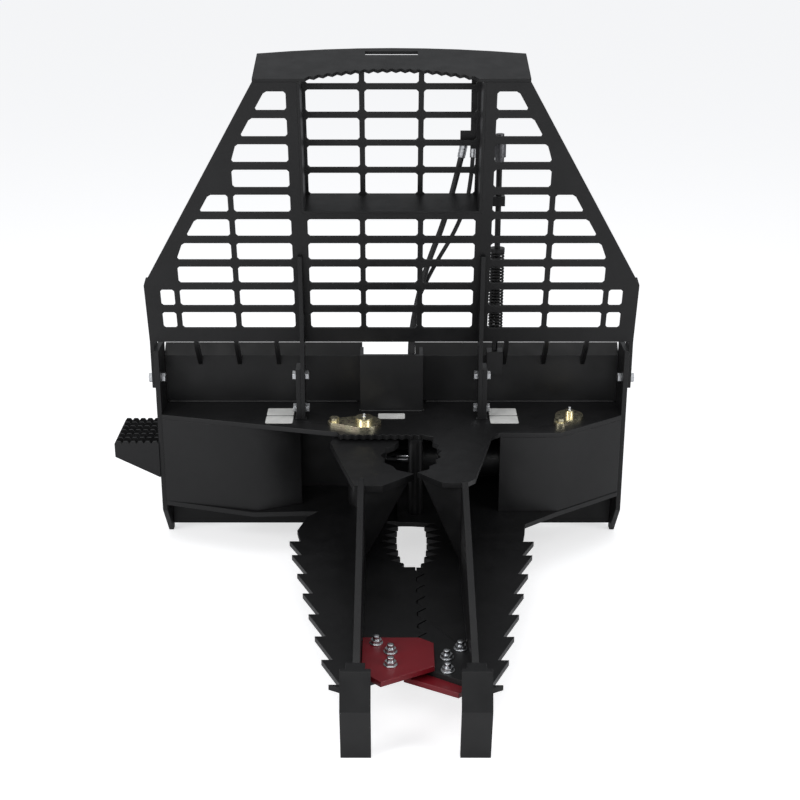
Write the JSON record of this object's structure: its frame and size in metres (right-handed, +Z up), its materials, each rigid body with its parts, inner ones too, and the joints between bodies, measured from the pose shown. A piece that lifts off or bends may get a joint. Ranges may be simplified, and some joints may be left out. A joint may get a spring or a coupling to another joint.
{
  "type": "tree puller",
  "caption": "Skid-steer tree puller with a fixed and a hinged toothed jaw, leaning mesh guard, step and quick-attach plate.",
  "frame": {"origin": "middle of the attach plate's rear face", "axes": "+X right seen from the front, +Y back to the machine, +Z up"},
  "size_m": [1.2985, 1.15, 1.2446],
  "materials": {
    "black_powder_coat": "satin",
    "dark_steel": "satin",
    "red_blade": "satin",
    "yellow_zinc": "satin",
    "bright_zinc": "polished",
    "hose_rubber": "matte",
    "chrome_rod": "polished"
  },
  "bodies": {
    "root": {"attach_plate": "black_powder_coat", "side_plate_right": "black_powder_coat", "side_plate_left": "black_powder_coat", "deck_plate": "black_powder_coat", "bottom_plate_left": "black_powder_coat", "bottom_spacer": "black_powder_coat", "front_panel_right": "black_powder_coat", "front_panel_left": "black_powder_coat", "centre_beam": "black_powder_coat", "throat_stop": "black_powder_coat", "guard_post_right": "black_powder_coat", "guard_post_left": "black_powder_coat", "post_tabs": "black_powder_coat", "guard_gussets": "black_powder_coat", "guard_bolts": "bright_zinc", "pivot_pin": "yellow_zinc", "cylinder_base_pin": "yellow_zinc", "flag_bolts": "yellow_zinc", "pivot_washers": "bright_zinc", "base_pin_spacers": "dark_steel", "fixed_jaw_lower_plate": "black_powder_coat", "fixed_jaw_fin": "black_powder_coat", "fixed_jaw_shoe": "black_powder_coat", "fixed_jaw_web": "black_powder_coat", "fixed_blade": "red_blade", "fixed_blade_bolts": "bright_zinc", "guard_panel": "black_powder_coat", "guard_window_box": "black_powder_coat", "guard_window_pane": "black_powder_coat", "guard_visor": "black_powder_coat", "step_tread": "black_powder_coat", "step_brackets": "black_powder_coat", "mast_bracket": "black_powder_coat", "mast_foot": "black_powder_coat", "mast_spring": "black_powder_coat", "mast_rod": "black_powder_coat", "mast_clamp": "black_powder_coat", "parked_coupler": "dark_steel", "hose_bar": "black_powder_coat", "hose_fittings": "yellow_zinc", "hose_left": "hose_rubber", "hose_right": "hose_rubber"},
    "moving_jaw": {"moving_jaw_lower_plate": "black_powder_coat", "moving_jaw_upper_plate": "black_powder_coat", "moving_jaw_fin": "black_powder_coat", "moving_jaw_shoe": "black_powder_coat", "moving_jaw_web": "black_powder_coat", "jaw_pivot_tube": "black_powder_coat", "moving_blade": "red_blade", "moving_blade_bolts": "bright_zinc", "moving_jaw_arm": "black_powder_coat"},
    "cylinder_body": {"cylinder_base_eye": "dark_steel", "cylinder_barrel": "black_powder_coat", "cylinder_gland": "dark_steel", "cylinder_ports": "bright_zinc"},
    "cylinder_rod_body": {"cylinder_piston": "dark_steel", "cylinder_rod": "chrome_rod", "rod_eye": "dark_steel", "rod_pin": "yellow_zinc"}
  },
  "joints": [
    {"name": "jaw_pivot", "type": "hinge", "parent": "root", "child": "moving_jaw", "pos_m": [-0.067, -0.172, -0.011], "axis": [0, 0, -1], "range_deg": [0, 30]},
    {"name": "cylinder_swing", "type": "hinge", "parent": "root", "child": "cylinder_body", "pos_m": [0.44, -0.125, -0.011], "axis": [0, 0, 1], "range_deg": [0, 0.21]},
    {"name": "rod_slide", "type": "slide", "parent": "cylinder_body", "child": "cylinder_rod_body", "axis": [0.9958, -0.0919, 0], "range_m": [0, 0.0497]}
  ],
  "couplings": [
    {"joint": "cylinder_swing", "follows": "jaw_pivot", "ratio": 0.00679},
    {"joint": "rod_slide", "follows": "jaw_pivot", "m_per_rad": 0.09473}
  ]
}
